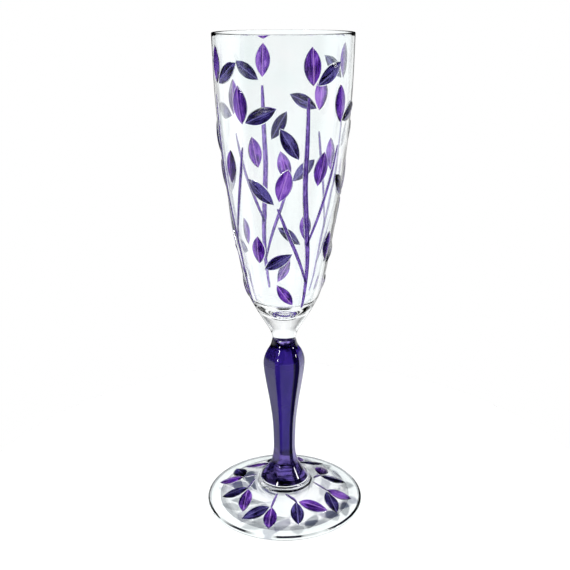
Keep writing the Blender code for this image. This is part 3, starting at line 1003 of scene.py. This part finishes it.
def make_floor():
    """A round white table top with a faint grain. The outside of the glass mirrors it with painted
    shade: dark, with painted light on the same sides as the room's lit ones."""
    bm = bmesh.new()
    bmesh.ops.create_circle(bm, cap_ends=True, radius=FLOOR_RADIUS, segments=128)
    mesh = bpy.data.meshes.new("floor")
    bm.to_mesh(mesh)
    bm.free()
    floor = bpy.data.objects.new("floor", mesh)
    floor.location.z = cad_box[0].z - FLOOR_GAP
    bpy.context.collection.objects.link(floor)
    nodes = Nodes(bpy.data.materials.new("white_floor"))
    place = nodes.add("TexCoord").outputs["Object"]
    colour = nodes.cloudy(nodes.noise(place, scale=30.0), FLOOR_TINTS)
    # Painted reflection: in the outside of the glass the floor's colour is dark, lit only on the
    # room's lit sides
    mirrored = nodes.paint(lit_sides(nodes, place), BLACK, colour)
    outside, _ = bounce_kinds(nodes)
    mesh.materials.append(nodes.matt(nodes.paint(outside, colour, mirrored), 0.9))


def make_world():
    """A studio that looks different to each kind of ray. The camera sees it plain white, and the
    floor gets a faint fill from it. Straight through the glass it is white with a dimmer ceiling.
    The outside of the glass mirrors a dark room with sides that are lit below the horizon. A
    reflection within the glass sees it white behind and dark in front, with a dark strip right
    behind that draws the edges."""
    world = bpy.data.worlds.new("studio")
    bpy.context.scene.world = world
    nodes = Nodes(world)
    direction = nodes.add("TexCoord").outputs["Generated"]
    up = nodes.add("SeparateXYZ", Vector=direction).outputs["Z"]
    through = nodes.remap(up, *CEILING_FADE)
    below = nodes.remap(up, *HORIZON_FADE)
    mirrored = nodes.math("MULTIPLY", lit_sides(nodes, direction), below)

    # Within the glass
    gap = azimuth_gap(nodes, azimuth_of(nodes, direction), BEHIND)
    strip = nodes.remap(gap, DARK_STRIP, DARK_STRIP + SIDE_SOFTNESS, STRIP_LEVEL, 1.0)
    behind = nodes.remap(gap, *FRONT_FADE)
    white_side = nodes.math("MAXIMUM", behind, nodes.remap(up, *ABOVE_FADE))
    inner = nodes.math("MULTIPLY", nodes.math("MULTIPLY", strip, white_side), through)

    outside, within = bounce_kinds(nodes)
    strength = nodes.between(outside, through, mirrored)
    strength = nodes.between(within, strength, inner)
    path = nodes.add("LightPath").outputs
    room = nodes.add("Background", Color=rgba(WHITE), Strength=strength)
    fill = nodes.add("Background", Color=rgba(FILL_COLOUR), Strength=FILL_STRENGTH)
    plain = nodes.add("Background", Color=rgba(WHITE), Strength=1.0)
    seen = nodes.add(
        "MixShader", _0=path["Is Diffuse Ray"], _1=room.outputs[0], _2=fill.outputs[0]
    )
    seen = nodes.add("MixShader", _0=path["Is Camera Ray"], _1=seen.outputs[0], _2=plain.outputs[0])
    nodes.add("OutputWorld", Surface=seen.outputs[0])


def make_sun(name, azimuth, elevation, strength, angle, mirrored):
    """A lamp far away. The soft ones light the floor and give the foot's leaves their shadows, and
    the mirrored ones only sparkle in the glass."""
    rise = math.radians(elevation)
    away = from_front(azimuth) * math.cos(rise) + Vector((0, 0, math.sin(rise)))
    data = bpy.data.lights.new(name, "SUN")
    data.angle = math.radians(angle)
    data.energy = strength
    lamp = bpy.data.objects.new(name, data)
    lamp.rotation_euler = (-away).to_track_quat("-Z", "Y").to_euler()
    lamp.visible_glossy = mirrored
    lamp.visible_diffuse = not mirrored
    lamp.visible_transmission = False
    bpy.context.collection.objects.link(lamp)


def make_lights():
    for name, azimuth, elevation, strength in SOFT_LIGHTS:
        make_sun(name, azimuth, elevation, strength, SOFT_LIGHT_ANGLE, mirrored=False)
    for number, (azimuth, elevation) in enumerate(SPARKLES):
        name = f"sparkle_{number + 1}"
        make_sun(name, azimuth, elevation, SPARKLE_STRENGTH, SPARKLE_ANGLE, mirrored=True)


def make_camera():
    """Looks down at the flute from a little above its rim."""
    data = bpy.data.cameras.new("camera")
    data.sensor_width = SENSOR_WIDTH
    data.lens = LENS
    camera = bpy.data.objects.new("camera", data)
    camera.location = CAMERA_PLACE
    look = Euler((math.radians(90 - CAMERA_DOWN), 0, 0)).to_matrix().to_4x4()
    camera.rotation_euler = (look @ Matrix.Rotation(CAMERA_ROLL, 4, "Z")).to_euler()
    bpy.context.collection.objects.link(camera)
    bpy.context.scene.camera = camera


def set_view():
    """Plain colours, and enough bounces for light to pass every wall and relief."""
    scene = bpy.context.scene
    scene.view_settings.view_transform = "Standard"
    scene.cycles.max_bounces = 32
    scene.cycles.transmission_bounces = 32
    scene.cycles.transparent_max_bounces = 32
    scene.cycles.glossy_bounces = 8
    scene.cycles.diffuse_bounces = 3


make_camera()
set_view()
make_world()
make_floor()
make_lights()

clear = clear_glass("clear_crystal")
bevel_clear = clear_glass("bevel_crystal", edges=False)
foot_clear = clear_glass("foot_crystal", bands=True)
enamels = {name: enamel(f"{name}_enamel", *colours) for name, colours in ENAMELS.items()}

make_piece("bowl_glass", fill_bowl, (clear,), ["bowl"])
make_piece("stem_glass", fill_stem, (lacquer(),), ["stem", "stem_lacquer"])
make_piece("foot_glass", fill_foot, (foot_clear, ground_glass()), ["foot"])
make_bowl_leaves(enamels, bevel_clear)
make_bowl_stalks(enamels, clear)
make_foot_sprigs(enamels, bevel_clear)
